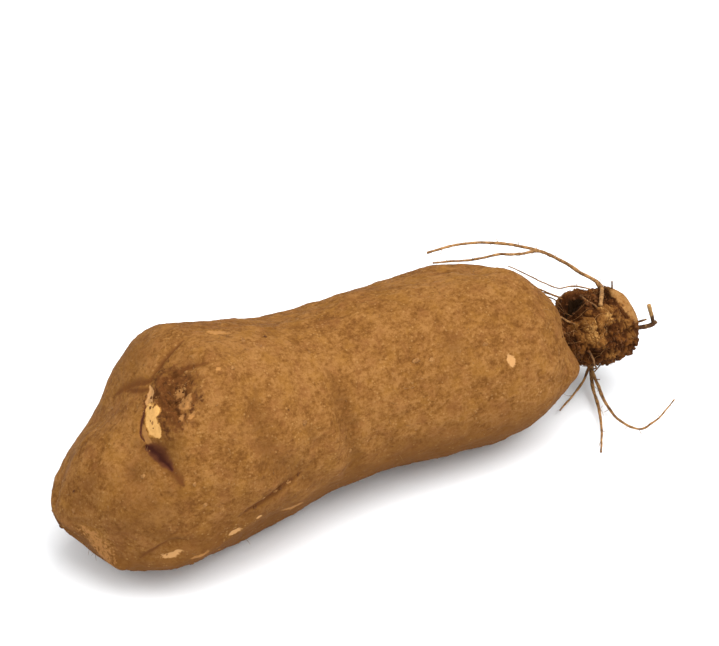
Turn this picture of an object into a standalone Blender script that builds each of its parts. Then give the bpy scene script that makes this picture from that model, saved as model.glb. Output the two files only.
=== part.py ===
"""A white yam: one long brown tuber lying on its side, the woody crown grown on its head,
and the wiry roots and the dry vine stub that the crown carries.

Lengths are in metres and +Z is up. The origin is on the surface that the yam lies on, in
the middle of the yam's box. +X runs from the tail to the crown, and the scarred side
faces -Y. A turn is an angle round the yam's length: 0 at the top, positive towards -Y.
Places and sizes are listed in millimetres and degrees, measured from the tuber's own
middle, and BOX_MIDDLE_MM moves everything to the origin at the end.
"""

from collections import namedtuple

import bmesh
import bpy
import numpy as np

MM = 0.001
BOX_MIDDLE_MM = (31, -6, 0)
SURFACE_GAP_MM = 0.3

# Driving dimensions of the tuber.
TAIL_X = -161
NECK_X = 146
TAIL_ROUNDING = 24
TAIL_POWER = 2.2
HEAD_ROUNDING_START = 76
HEAD_ROUNDING_END = 151
HEAD_POWER = 2.2
TUBER_SEGMENTS = 56
TUBER_RINGS = 64
FOLD_RADIUS = 56
NECK_SHARE = 0.965
# Where the tuber's rings and the points of a half turn are drawn together: centre, width, gain.
RING_CROWDS = ((0, 0.05, 3.5), (0.18, 0.1, 2.2), (0.95, 0.05, 1))
FRONT_CROWDS = ((0.57, 0.13, 1.0),)

# Driving dimensions of the crown.
CROWN_BASE_X = NECK_X + SURFACE_GAP_MM
CROWN_END_X = 202
CROWN_ROUNDING = 13
CROWN_POWER = 2.4
CROWN_SEGMENTS = 36
CROWN_RINGS = 32
CROWN_FOLD_RADIUS = 22
CROWN_BASE_SHARE = 0.06
CROWN_CROWDS = ((1, 0.12, 1.5),)

# Each station is the middle's x, y and z, then half the breadth and half the height.
TUBER_STATIONS = (
    (-161, 2, 40, 20, 19),
    (-150, 0, 41, 26, 26),
    (-141, -3, 41, 33, 33),
    (-130, -5, 43, 40, 40),
    (-108, -5, 52, 51, 50),
    (-80, 0, 59, 60, 60),
    (-50, -1, 57, 57, 57),
    (-16, 1, 54, 52, 51),
    (20, 0, 53, 51, 50),
    (58, -3, 51, 54, 52),
    (90, -6, 51, 55, 53),
    (120, -10, 51, 56, 53),
    (146, -15, 47, 58, 56),
)
CROWN_STATIONS = (
    (146, -15, 46, 17.5, 17.5),
    (152, -15, 46, 19, 19),
    (160, -16, 44.5, 23, 23),
    (170, -16, 43, 24.5, 24.5),
    (180, -16, 41.5, 24, 24),
    (190, -17, 41.5, 22.5, 21.5),
    (202, -18, 43, 19.5, 17.5),
)

Swell = namedtuple("Swell", "x turn along around height")
Fold = namedtuple("Fold", "places width height")
Lumps = namedtuple("Lumps", "size height seed")

# Bulges and hollows of the tuber.
TUBER_SWELLS = (
    Swell(x=-97, turn=-34, along=18, around=24, height=5),
    Swell(x=-78, turn=24, along=16, around=20, height=4),
    Swell(x=-103, turn=26, along=6, around=18, height=4),
    Swell(x=-93, turn=20, along=9, around=9, height=-7),
    Swell(x=-122, turn=30, along=11, around=22, height=-4),
    Swell(x=-122, turn=-24, along=9, around=20, height=-4),
    Swell(x=-134, turn=62, along=13, around=18, height=4),
    Swell(x=-147, turn=52, along=8, around=10, height=-2.5),
    Swell(x=-60, turn=72, along=22, around=24, height=3),
    Swell(x=-20, turn=70, along=12, around=20, height=2.5),
    Swell(x=-74, turn=170, along=26, around=40, height=2),
    Swell(x=30, turn=-120, along=30, around=30, height=2.5),
    Swell(x=70, turn=20, along=36, around=30, height=1.5),
)
# Creases and ridges of the tuber, through places of x and turn.
TUBER_FOLDS = (
    Fold(places=((-58, -6), (-77, 9), (-88, 10), (-100, 6)), width=6, height=-5),
    Fold(places=((-114, -22), (-106, -8), (-100, 6)), width=5, height=-2.5),
    Fold(places=((-111, 2), (-115, 18), (-115, 33), (-111, 48)), width=4, height=-8),
    Fold(places=((-24, 22), (-33, 46), (-31, 72), (-22, 98)), width=8, height=-2.6),
    Fold(places=((-50, 40), (-50, 66), (-44, 96)), width=8, height=-2),
    Fold(places=((2, 60), (4, 84), (12, 104)), width=8, height=-1.6),
    Fold(places=((-140, 100), (-108, 90), (-80, 92), (-52, 96)), width=5, height=-1.6),
    Fold(places=((-30, -60), (-26, -100), (-34, -140)), width=9, height=-2.4),
    Fold(places=((40, 200), (44, 236), (36, 270)), width=10, height=-1.8),
    Fold(places=((-120, 190), (-112, 226), (-118, 262)), width=8, height=-2.4),
)
TUBER_LUMPS = (Lumps(size=34, height=1.6, seed=3), Lumps(size=15, height=0.6, seed=8))

# Knobs, the cavity and the creases of the crown.
CROWN_SWELLS = (
    Swell(x=160, turn=20, along=4.5, around=5.5, height=-8),
    Swell(x=158, turn=-12, along=6, around=8, height=3.5),
    Swell(x=169, turn=48, along=7, around=6, height=2.2),
    Swell(x=183, turn=18, along=6, around=6, height=-2.5),
    Swell(x=188, turn=60, along=5, around=6, height=-2.8),
    Swell(x=176, turn=84, along=5, around=5, height=-3),
    Swell(x=183, turn=112, along=7, around=7, height=2.5),
    Swell(x=168, turn=130, along=6, around=6, height=-2.5),
    Swell(x=176, turn=-60, along=7, around=7, height=2.5),
    Swell(x=188, turn=-100, along=6, around=7, height=-3),
    Swell(x=166, turn=-120, along=6, around=6, height=2.5),
    Swell(x=181, turn=-160, along=6, around=6, height=-2.5),
)
CROWN_FOLDS = (
    Fold(places=((152, 40), (166, 66), (181, 74), (192, 64)), width=2.4, height=-2.2),
    Fold(places=((164, -20), (175, 0), (186, 6)), width=2.4, height=-2),
    Fold(places=((156, -70), (171, -88), (187, -80)), width=2.4, height=-2.2),
    Fold(places=((156, 150), (171, 172), (184, 200)), width=2.4, height=-2.2),
)
CROWN_LUMPS = (Lumps(size=10, height=2.2, seed=21), Lumps(size=5, height=0.9, seed=34))
CROWN_CAP_X = 193

Strand = namedtuple("Strand", "places thickness tip")

# Each spray stands in the crown with its peg, and its strands leave the peg.
UPPER_PEG = Strand(places=((189, -11, 53), (187, -8, 60), (184, -4, 66)), thickness=3.2, tip=2.8)
UPPER_STRANDS = (
    Strand(
        places=((185, -5, 64), (181, 2, 70), (171, 8, 77), (157, 14, 86), (146, 18, 91), (130, 21, 97),
                (114, 24, 101), (102, 26, 102), (88, 28, 101)),
        thickness=2.3, tip=1.3,
    ),
    Strand(places=((157, 14, 86), (144, 15, 88), (132, 18, 90), (119, 20, 91), (104, 24, 92), (91, 27, 94)),
           thickness=1.9, tip=1.2),
    Strand(places=((185, -5, 64), (177, 0, 66), (168, 5, 65), (159, 9, 66), (148, 14, 74), (137, 18, 82)),
           thickness=1.3, tip=1.2),
)
LOWER_PEG = Strand(places=((178, -13, 25), (178, -15, 18), (177, -18, 12)), thickness=3.2, tip=2.8)
LOWER_STRANDS = (
    Strand(places=((177, -17, 14), (171, -20, 8), (160, -24, 5), (144, -31, 4)), thickness=1.9, tip=1.2),
    Strand(places=((177, -17, 14), (173, -25, 7), (164, -43, 4.5), (154, -58, 3.5), (142, -73, 3)),
           thickness=2.3, tip=1.3),
    Strand(
        places=((177, -17, 14), (174, -28, 9), (170, -40, 6), (168, -56, 4), (173, -69, 3.5), (186, -70, 7),
                (200, -66, 12)),
        thickness=2.2, tip=1.2,
    ),
)
VINE_PEG = Strand(places=((192, -17, 36), (202, -18, 34), (209, -19, 33)), thickness=3.2, tip=3)
VINE_STRANDS = (
    Strand(places=((207, -19, 33), (214, -20, 32.5), (220, -20, 32), (220, -20, 36), (216, -20, 45)),
           thickness=2.8, tip=2.4),
    Strand(places=((208, -19, 33), (213, -19, 38)), thickness=1.8, tip=1.4),
)
STRAND_STEP = 6


def cell_number(cells, seed):
    """A steady number from -1 to 1 for each cell of a grid."""
    wave = np.sin(cells @ np.array([127.1, 311.7, 74.7]) + 53.3 * seed) * 43758.5453
    return 2 * (wave - np.floor(wave)) - 1


def lumps(points, kind):
    """Soft lumps over the points, as a height at each."""
    place = points / kind.size + kind.seed
    cell = np.floor(place)
    part = place - cell
    part = part * part * (3 - 2 * part)
    total = np.zeros(len(points))
    for corner in np.ndindex(2, 2, 2):
        weight = np.prod(np.where(corner, part, 1 - part), axis=1)
        total += weight * cell_number(cell + corner, kind.seed)
    return total * kind.height


def through(stations, x):
    """Smooth curves through the stations at the places x, one row for each column after the first."""
    table = np.array(stations, float)
    at, values = table[:, 0], table[:, 1:]
    rise = np.diff(values, axis=0) / np.diff(at)[:, None]
    slope = np.vstack([rise[:1], (rise[:-1] + rise[1:]) / 2, rise[-1:]])
    cell = np.clip(np.searchsorted(at, x, side="right") - 1, 0, len(at) - 2)
    width = (at[cell + 1] - at[cell])[:, None]
    s = np.clip((x - at[cell])[:, None] / width, 0, 1)
    rest = 1 - s
    curve = (
        values[cell] * rest * rest * (1 + 2 * s)
        + values[cell + 1] * s * s * (3 - 2 * s)
        + slope[cell] * width * s * rest * rest
        - slope[cell + 1] * width * s * s * rest
    )
    return curve.T


def rounding(share, power):
    """How far a rounded end has opened: 0 at its tip, where share is 1, and 1 where share is 0."""
    return (1 - np.clip(share, 0, 1) ** power) ** (1 / power)


def crowded(share, crowds):
    """Even shares drawn together round each crowd's centre, by its width and gain."""
    steps = np.linspace(0, 1, 500)
    density = np.ones_like(steps)
    for centre, width, gain in crowds:
        density += gain * np.exp(-(((steps - centre) / width) ** 2))
    total = np.concatenate([[0], np.cumsum((density[1:] + density[:-1]) / 2)])
    return np.interp(share, total / total[-1], steps)


def round_distance(turn, centre, radius):
    """The way round from a centre's turn, in millimetres at the radius given."""
    return (np.remainder(turn - np.radians(centre) + np.pi, 2 * np.pi) - np.pi) * radius


def swell_height(swell, x, turn, radius):
    """Height of one bulge, or depth of one hollow."""
    across = round_distance(turn, swell.turn, radius)
    return swell.height * np.exp(-(((x - swell.x) / swell.along) ** 2) - (across / swell.around) ** 2)


def fold_height(fold, x, turn, radius):
    """Height of a ridge, or depth of a crease, that runs through its places and fades at both ends."""
    first_x, first_turn = fold.places[0]
    flat = np.stack([x - first_x, round_distance(turn, first_turn, radius)], -1)
    line = np.array([(px - first_x, np.radians(pt - first_turn) * radius) for px, pt in fold.places])
    lengths = np.linalg.norm(np.diff(line, axis=0), axis=1)
    starts = np.concatenate([[0], np.cumsum(lengths)])
    nearest = np.full(len(x), np.inf)
    along = np.zeros(len(x))
    for start, end, length, begin in zip(line[:-1], line[1:], lengths, starts):
        share = np.clip((flat - start) @ (end - start) / length**2, 0, 1)
        distance = np.linalg.norm(flat - start - share[:, None] * (end - start), axis=1)
        closer = distance < nearest
        nearest = np.where(closer, distance, nearest)
        along = np.where(closer, (begin + share * length) / starts[-1], along)
    fade = np.sin(np.pi * np.clip(along, 0.03, 0.97)) ** 0.5
    return fold.height * fade * np.exp(-((nearest / fold.width) ** 2))


def relief(x, turn, swells, folds, radius):
    """Height of all the bulges, hollows, ridges and creases."""
    height = np.zeros_like(x)
    for swell in swells:
        height += swell_height(swell, x, turn, radius)
    for fold in folds:
        height += fold_height(fold, x, turn, radius)
    return height


def tuber_skin(along, turn):
    """Points of the tuber's skin. along runs from 0 at the tail to 1 at the middle of the neck."""
    along = crowded(along, RING_CROWDS)
    turn = (crowded((turn / np.pi + 1) / 2, FRONT_CROWDS) * 2 - 1) * np.pi
    x = TAIL_X + (NECK_X - TAIL_X) * np.clip(along / NECK_SHARE, 0, 1)
    y, z, side, up = through(TUBER_STATIONS, x)
    opened = rounding((TAIL_X + TAIL_ROUNDING - x) / TAIL_ROUNDING, TAIL_POWER)
    opened *= rounding((x - HEAD_ROUNDING_START) / (HEAD_ROUNDING_END - HEAD_ROUNDING_START), HEAD_POWER)
    opened *= np.clip((1 - along) / (1 - NECK_SHARE), 0, 1)
    skin = np.stack([x, y - side * opened * np.sin(turn), z + up * opened * np.cos(turn)], -1)
    height = relief(x, turn, TUBER_SWELLS, TUBER_FOLDS, FOLD_RADIUS)
    for kind in TUBER_LUMPS:
        height += lumps(skin, kind)
    calm = np.clip(opened / 0.5, 0, 1) * np.clip((NECK_X - x) / 12, 0, 1)
    outward = np.stack([np.zeros_like(x), -np.sin(turn), np.cos(turn)], -1)
    skin += outward * (height * calm)[:, None]
    skin[:, 2] = np.maximum(skin[:, 2], 0)
    return skin


def crown_skin(along, turn):
    """Points of the crown's skin. along runs from 0 at the middle of its base to 1 at its outer end."""
    share = np.clip((along - CROWN_BASE_SHARE) / (1 - CROWN_BASE_SHARE), 0, 1)
    x = CROWN_BASE_X + (CROWN_END_X - CROWN_BASE_X) * crowded(share, CROWN_CROWDS)
    y, z, side, up = through(CROWN_STATIONS, x)
    opened = rounding((x - CROWN_END_X + CROWN_ROUNDING) / CROWN_ROUNDING, CROWN_POWER)
    opened *= np.clip(along / CROWN_BASE_SHARE, 0, 1)
    skin = np.stack([x, y - side * opened * np.sin(turn), z + up * opened * np.cos(turn)], -1)
    height = relief(x, turn, CROWN_SWELLS, CROWN_FOLDS, CROWN_FOLD_RADIUS)
    for kind in CROWN_LUMPS:
        height += lumps(skin, kind)
    calm = np.clip(opened, 0, 1) * np.clip((x - CROWN_BASE_X) / 5, 0, 1)
    calm *= 1 - 0.7 * np.clip((x - CROWN_CAP_X) / 6, 0, 1)
    outward = np.stack([np.zeros_like(x), -np.sin(turn), np.cos(turn)], -1)
    return skin + outward * (height * calm)[:, None]


def to_metres(points):
    """Listed places in millimetres to places in metres from the yam's origin."""
    return (np.asarray(points, float) - BOX_MIDDLE_MM) * MM


def material(name, colour, roughness):
    """A plain Principled finish."""
    finish = bpy.data.materials.new(name)
    finish.use_nodes = True
    shader = finish.node_tree.nodes["Principled BSDF"]
    shader.inputs["Base Color"].default_value = (*colour, 1)
    shader.inputs["Roughness"].default_value = roughness
    shader.inputs["Metallic"].default_value = 0
    return finish


def ball(name, segments, rings, surface, finish):
    """A ball whose points are moved to surface(along, turn), with its poles at along 0 and 1."""
    shape = bmesh.new()
    bmesh.ops.create_uvsphere(shape, u_segments=segments, v_segments=rings, radius=1)
    places = np.array([vertex.co for vertex in shape.verts])
    along = 1 - np.arccos(np.clip(places[:, 2], -1, 1)) / np.pi
    turn = np.arctan2(-places[:, 0], places[:, 1])
    for vertex, place in zip(shape.verts, to_metres(surface(along, turn))):
        vertex.co = place
    mesh = bpy.data.meshes.new(name)
    shape.to_mesh(mesh)
    shape.free()
    mesh.shade_smooth()
    mesh.materials.append(finish)
    thing = bpy.data.objects.new(name, mesh)
    parts.objects.link(thing)
    return thing


def route(strand):
    """Points every few millimetres on a smooth curve through the strand's places, with the share of the way."""
    places = np.array(strand.places, float)
    steps = np.linalg.norm(np.diff(places, axis=0), axis=1)
    way = np.concatenate([[0], np.cumsum(steps)])
    table = np.column_stack([way, places])
    count = max(4, int(round(way[-1] / STRAND_STEP)) + 1)
    at = np.linspace(0, way[-1], count)
    return through(table, at).T, at / way[-1]


def tube(name, strand, extra, collection):
    """A tapering tube along the strand, as a closed mesh. extra is added to its radius."""
    points, shares = route(strand)
    curve = bpy.data.curves.new(name + "_guide", "CURVE")
    curve.dimensions = "3D"
    curve.bevel_depth = MM
    curve.bevel_resolution = 2
    curve.use_fill_caps = True
    spline = curve.splines.new("POLY")
    spline.points.add(len(points) - 1)
    for knot, place, share in zip(spline.points, to_metres(points), shares):
        knot.co = (*place, 1)
        knot.radius = (strand.thickness + (strand.tip - strand.thickness) * share) / 2 + extra
    guide = bpy.data.objects.new(name + "_guide", curve)
    collection.objects.link(guide)
    bpy.context.view_layer.update()
    solved = guide.evaluated_get(bpy.context.evaluated_depsgraph_get())
    mesh = bpy.data.meshes.new_from_object(solved)
    shape = bmesh.new()
    shape.from_mesh(mesh)
    bmesh.ops.remove_doubles(shape, verts=shape.verts, dist=0.00001)
    bmesh.ops.recalc_face_normals(shape, faces=shape.faces)
    shape.to_mesh(mesh)
    shape.free()
    thing = bpy.data.objects.new(name, mesh)
    thing.matrix_world = guide.matrix_world
    bpy.data.objects.remove(guide)
    collection.objects.link(thing)
    return thing


def apply_modifiers(thing):
    """Keeps the shape that the thing's modifiers give, without the modifiers."""
    bpy.context.view_layer.update()
    solved = thing.evaluated_get(bpy.context.evaluated_depsgraph_get())
    mesh = bpy.data.meshes.new_from_object(solved)
    thing.modifiers.clear()
    thing.data = mesh


def spray(name, peg, strands, finish):
    """One node of strands grown together on the peg that stands in the crown."""
    thing = tube(name, peg, 0, parts)
    joined = bpy.data.collections.new(name + "_strands")
    bpy.context.scene.collection.children.link(joined)
    for number, strand in enumerate(strands):
        tube(f"{name}_{number}", strand, 0, joined)
    union = thing.modifiers.new("union", "BOOLEAN")
    union.operation = "UNION"
    union.operand_type = "COLLECTION"
    union.collection = joined
    union.solver = "EXACT"
    apply_modifiers(thing)
    for strand in list(joined.objects):
        bpy.data.objects.remove(strand)
    bpy.data.collections.remove(joined)
    thing.data.materials.clear()
    thing.data.materials.append(finish)
    thing.data.shade_smooth()
    return thing


def cut_hole(thing, peg):
    """A plain hole for the peg, wider than it by the gap all round."""
    cutter = tube(thing.name + "_hole", peg, SURFACE_GAP_MM, cutters)
    cutter.hide_render = True
    cutter.display_type = "WIRE"
    cut = thing.modifiers.new("hole", "BOOLEAN")
    cut.operation = "DIFFERENCE"
    cut.object = cutter
    cut.solver = "EXACT"


for old in list(bpy.data.objects):
    bpy.data.objects.remove(old)
parts = bpy.data.collections.new("white_yam")
cutters = bpy.data.collections.new("cutters")
for group in (parts, cutters):
    bpy.context.scene.collection.children.link(group)

skin_finish = material("brown_skin", (0.38, 0.18, 0.05), 0.85)
crown_finish = material("dark_wood", (0.13, 0.06, 0.02), 0.9)
root_finish = material("tan_root", (0.30, 0.17, 0.07), 0.85)
vine_finish = material("dry_vine", (0.26, 0.14, 0.06), 0.85)

ball("tuber", TUBER_SEGMENTS, TUBER_RINGS, tuber_skin, skin_finish)
crown = ball("crown", CROWN_SEGMENTS, CROWN_RINGS, crown_skin, crown_finish)
spray("upper_roots", UPPER_PEG, UPPER_STRANDS, root_finish)
spray("lower_roots", LOWER_PEG, LOWER_STRANDS, root_finish)
spray("vine_stub", VINE_PEG, VINE_STRANDS, vine_finish)
for peg in (UPPER_PEG, LOWER_PEG, VINE_PEG):
    cut_hole(crown, peg)
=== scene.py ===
"""The looks of a white yam lying on a pale floor.

The tuber, its woody crown, the roots and the dry vine stub are made here as fine meshes
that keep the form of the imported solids, and then get their litter of rootlets, hairs,
flakes and soil. Forms are laid out in millimetres from the tuber's own middle, with x
running from the tail to the crown. A turn is an angle round the yam's length in degrees:
0 at the top, positive towards -Y, where the scar is.
"""

import logging
from collections.abc import Callable
from dataclasses import dataclass
from enum import Enum

import bmesh
import bpy
import numpy as np
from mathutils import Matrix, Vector


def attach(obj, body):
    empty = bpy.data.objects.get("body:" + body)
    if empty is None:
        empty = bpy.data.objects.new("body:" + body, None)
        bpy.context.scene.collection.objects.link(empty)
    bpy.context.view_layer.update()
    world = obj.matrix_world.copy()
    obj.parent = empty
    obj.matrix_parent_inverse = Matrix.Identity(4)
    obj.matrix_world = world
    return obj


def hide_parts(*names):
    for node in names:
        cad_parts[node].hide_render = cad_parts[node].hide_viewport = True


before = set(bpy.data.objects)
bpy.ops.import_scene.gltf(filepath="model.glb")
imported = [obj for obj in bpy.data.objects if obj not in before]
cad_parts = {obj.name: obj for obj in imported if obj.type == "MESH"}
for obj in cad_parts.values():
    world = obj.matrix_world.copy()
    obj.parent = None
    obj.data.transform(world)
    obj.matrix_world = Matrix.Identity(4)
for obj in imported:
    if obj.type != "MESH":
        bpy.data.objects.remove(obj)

MM = 0.001
BOX_MIDDLE = (31.0, -6.0, 0.0)
TUBE_SIDE = np.array([0.31, 0.17, 0.93])
LOG = logging.getLogger("yam")

Array = np.ndarray
Colour = tuple[float, float, float]
Piece = bpy.types.Object
Material = bpy.types.Material
Socket = bpy.types.NodeSocket


class Slot(Enum):
    """The record's finishes."""

    SKIN = "yam_skin"
    WOOD = "crown_wood"
    ROOT = "root"
    VINE = "vine"


class Grain(Enum):
    """How the lumps of a surface look."""

    SOFT = "soft"
    RIDGED = "ridged"
    CLODDED = "clodded"


def to_metres(points: Array) -> Array:
    """Places in millimetres from the tuber's middle as metres in the frame."""
    return (np.asarray(points, float) - BOX_MIDDLE) * MM


def unit(vectors: Array) -> Array:
    """The vectors, one to a row, at length one."""
    return vectors / np.maximum(np.linalg.norm(vectors, axis=-1, keepdims=True), 1e-9)


def smooth_step(value: Array, low: float, high: float) -> Array:
    """A soft step from 0 at low to 1 at high."""
    share = np.clip((value - low) / (high - low), 0, 1)
    return share * share * (3 - 2 * share)


@dataclass(frozen=True)
class Lumps:
    """Lumps of one size over a surface: soft ones, torn ridges or round clods between clefts.

    Stretch draws the lumps out where it is below 1.
    """

    size: float
    height: float
    seed: int
    grain: Grain = Grain.SOFT
    stretch: tuple[float, float, float] = (1, 1, 1)

    def _cell(self, cells: Array) -> Array:
        """A steady number from -1 to 1 for each cell."""
        wave = np.sin(cells @ np.array([127.1, 311.7, 74.7]) + 53.3 * self.seed) * 43758.5453
        return 2 * (wave - np.floor(wave)) - 1

    def at(self, points: Array) -> Array:
        """Height of the lumps.

        Args:
            points: places in millimetres.

        Returns:
            One height to a point.
        """
        place = points * self.stretch / self.size + self.seed
        cell = np.floor(place)
        part = place - cell
        part = part * part * (3 - 2 * part)
        total = np.zeros(len(points))
        for corner in np.ndindex(2, 2, 2):
            weight = np.prod(np.where(corner, part, 1 - part), axis=1)
            total += weight * self._cell(cell + corner)
        if self.grain is Grain.RIDGED:
            total = 1 - 3 * np.abs(total)
        elif self.grain is Grain.CLODDED:
            total = np.minimum(3.2 * np.abs(total), 1.6) - 0.8
        return total * self.height


@dataclass(frozen=True)
class Chart:
    """Places on a round body: x along it, the turn in radians, and the radius for ways round it."""

    x: Array
    turn: Array
    radius: float

    def way_round(self, centre: float) -> Array:
        """Millimetres round the body from a centre in degrees, positive towards larger turns."""
        return (np.remainder(self.turn - np.radians(centre) + np.pi, 2 * np.pi) - np.pi) * self.radius


@dataclass(frozen=True)
class Swell:
    """A round bulge, or a hollow where its height is negative."""

    x: float
    turn: float
    along: float
    around: float
    height: float

    def at(self, chart: Chart) -> Array:
        """Heights in millimetres."""
        across = chart.way_round(self.turn) / self.around
        return self.height * np.exp(-(((chart.x - self.x) / self.along) ** 2) - across**2)


@dataclass(frozen=True)
class Line:
    """A line drawn on the yam's surface through places of x and turn."""

    places: tuple[tuple[float, float], ...]
    width: float

    def measure(self, chart: Chart, inset: float, power: float) -> tuple[Array, Array]:
        """How the places lie to the line.

        Args:
            chart: the places.
            inset: the share of its length that each end keeps from fading further.
            power: how the line fades: low for a long even middle.

        Returns:
            The distance, positive to the right of the line's way towards larger turns, and how
            strong the line is at its nearest place.
        """
        first_x, first_turn = self.places[0]
        flat = np.stack([chart.x - first_x, chart.way_round(first_turn)], -1)
        line = np.array([(a - first_x, np.radians(b - first_turn) * chart.radius) for a, b in self.places])
        lengths = np.linalg.norm(np.diff(line, axis=0), axis=1)
        starts = np.concatenate([[0], np.cumsum(lengths)])
        nearest = np.full(len(flat), np.inf)
        signed, share = np.zeros((2, len(flat)))
        for start, end, length, begin in zip(line[:-1], line[1:], lengths, starts):
            way = (end - start) / length
            inside = np.clip((flat - start) @ way, 0, length)
            offset = flat - start - inside[:, None] * way
            distance = np.linalg.norm(offset, axis=1)
            side = np.where(offset[:, 0] * way[1] - offset[:, 1] * way[0] >= 0, 1, -1)
            closer = distance < nearest
            nearest = np.where(closer, distance, nearest)
            signed = np.where(closer, distance * side, signed)
            share = np.where(closer, (begin + inside) / starts[-1], share)
        return signed, np.sin(np.pi * np.clip(share, inset, 1 - inset)) ** power


@dataclass(frozen=True)
class Fold(Line):
    """A crease where its height is negative, or a ridge, fading at both ends."""

    height: float

    def at(self, chart: Chart) -> Array:
        """Heights in millimetres."""
        signed, fade = self.measure(chart, 0.03, 0.5)
        return self.height * fade * np.exp(-((signed / self.width) ** 2))


@dataclass(frozen=True)
class Ledge(Line):
    """A lip that stands up steeply on one side of a line and sinks back slowly behind it."""

    height: float
    reach: float

    def at(self, chart: Chart) -> Array:
        """Heights of the lip.

        Args:
            chart: the places.

        Returns:
            One height to a place, in millimetres.
        """
        signed, fade = self.measure(chart, 0, 0.7)
        rise = self.height * fade * (0.5 * (1 + np.tanh(signed / self.width)))
        return rise * np.exp(-((np.maximum(signed, 0) / self.reach) ** 2))


@dataclass(frozen=True)
class Band(Line):
    """A strip of colour along a line, with pointed ends."""

    def at(self, chart: Chart) -> Array:
        """How deep inside the strip each place is: 1 on its line, 0 at its edge, down to -1."""
        signed, fade = self.measure(chart, 0.02, 0.6)
        return np.maximum(1 - np.abs(signed) / (self.width * fade), -1)


@dataclass(frozen=True)
class Spot:
    """A round spot of colour."""

    x: float
    turn: float
    along: float
    around: float

    def at(self, chart: Chart) -> Array:
        """How deep inside the spot each place is: 1 at its middle, 0 at its edge, down to -1."""
        across = chart.way_round(self.turn) / self.around
        return np.maximum(1 - np.hypot((chart.x - self.x) / self.along, across), -1)


def rows_of(form: type, *rows: tuple) -> tuple:
    """One form for each row of its numbers."""
    return tuple(form(*row) for row in rows)


def heights(forms: tuple, chart: Chart) -> Array:
    """The sum of the heights of swells, folds and ledges."""
    return sum((form.at(chart) for form in forms), np.zeros_like(chart.x))


def layered(lumps: tuple, points: Array) -> Array:
    """The sum of the heights of several layers of lumps at places in millimetres."""
    return sum(layer.at(points) for layer in lumps)


def deepest(marks: tuple, chart: Chart) -> Array:
    """How deep inside any of the bands and spots each place is."""
    return np.max([mark.at(chart) for mark in marks], axis=0)


def through(rows: tuple, x: Array) -> Array:
    """Smooth curves through rows of numbers.

    Args:
        rows: a place and the values there, in order of place.
        x: where the values are wanted.

    Returns:
        One row for each column after the first.
    """
    table = np.array(rows, float)
    at, values = table[:, 0], table[:, 1:]
    rise = np.diff(values, axis=0) / np.diff(at)[:, None]
    slope = np.vstack([rise[:1], (rise[:-1] + rise[1:]) / 2, rise[-1:]])
    cell = np.clip(np.searchsorted(at, x, side="right") - 1, 0, len(at) - 2)
    width = (at[cell + 1] - at[cell])[:, None]
    s = np.clip((x - at[cell])[:, None] / width, 0, 1)
    rest = 1 - s
    curve = (
        values[cell] * rest * rest * (1 + 2 * s)
        + values[cell + 1] * s * s * (3 - 2 * s)
        + slope[cell] * width * s * rest * rest
        - slope[cell + 1] * width * s * s * rest
    )
    return curve.T


def rounding(share: Array, power: float) -> Array:
    """How far a rounded end has opened: 0 at its tip, where the share is 1; a high power is blunt."""
    return (1 - np.clip(share, 0, 1) ** power) ** (1 / power)


def crowded(share: Array, centre: float, width: float, gain: float) -> Array:
    """Even shares from 0 to 1, drawn together round a centre.

    Args:
        share: the shares.
        centre: where they lie closest.
        width: how far the crowd reaches.
        gain: how much closer they lie there.

    Returns:
        The new shares.
    """
    steps = np.linspace(0, 1, 500)
    density = 1 + gain * np.exp(-(((steps - centre) / width) ** 2))
    total = np.concatenate([[0], np.cumsum((density[1:] + density[:-1]) / 2)])
    return np.interp(share, total / total[-1], steps)


def eased(share: Array, bend: float) -> Array:
    """Even shares from 0 to 1 that start closer together, up to the bend."""
    return np.where(share < bend, share**2 / (2 * bend), share - bend / 2) / (1 - bend / 2)


def outward(turn: Array) -> Array:
    """Directions straight out from the yam's length at turns in radians."""
    return np.stack([np.zeros_like(turn), -np.sin(turn), np.cos(turn)], -1)


class Weave:
    """Gathers the points and faces of one piece and makes its object."""

    def __init__(self) -> None:
        """Starts with nothing."""
        self.points: list[Array] = []
        self.faces: list[Array] = []
        self.masks: dict[str, list[Array]] = {}
        self.count = 0

    def add(self, points: Array, faces: Array, **masks: Array) -> None:
        """Adds one body.

        Args:
            points: its places in millimetres.
            faces: corners of its faces; a triangle repeats its last corner.
            masks: named numbers, one to a point.
        """
        self.points.append(points)
        self.faces.append(faces + self.count)
        for name, values in masks.items():
            self.masks.setdefault(name, []).append(np.asarray(values, float))
        self.count += len(points)

    def make(self, name: str) -> Piece:
        """Makes the object, shaded smooth.

        Args:
            name: the piece's name.

        Returns:
            The new object, linked to the scene.
        """
        faces = np.concatenate(self.faces)
        corners = [row[:3] if row[2] == row[3] else row for row in faces.tolist()]
        mesh = bpy.data.meshes.new(name)
        mesh.from_pydata(to_metres(np.concatenate(self.points)).tolist(), [], corners)
        for mask, values in self.masks.items():
            layer = mesh.attributes.new(mask, "FLOAT", "POINT")
            layer.data.foreach_set("value", np.concatenate(values).astype(np.float32))
        mesh.shade_smooth()
        mesh.update()
        piece = bpy.data.objects.new(name, mesh)
        bpy.context.scene.collection.objects.link(piece)
        return piece


def wrapped_faces(rings: int, sides: int) -> Array:
    """Faces of a closed body of rings between two end points.

    Args:
        rings: how many rings there are.
        sides: how many points a ring has.

    Returns:
        Corners, for points in order of rings, then the first end and the last end.
    """
    ring = np.arange(rings - 1)[:, None] * sides
    here = np.arange(sides)
    there = (here + 1) % sides
    quads = np.stack([ring + here, ring + there, ring + sides + there, ring + sides + here], -1)
    first = np.full(sides, rings * sides)
    last_ring = (rings - 1) * sides
    start = np.stack([first, there, here, here], -1)
    end = np.stack([first + 1, last_ring + here, last_ring + there, last_ring + there], -1)
    return np.concatenate([quads.reshape(-1, 4), start, end])


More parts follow.
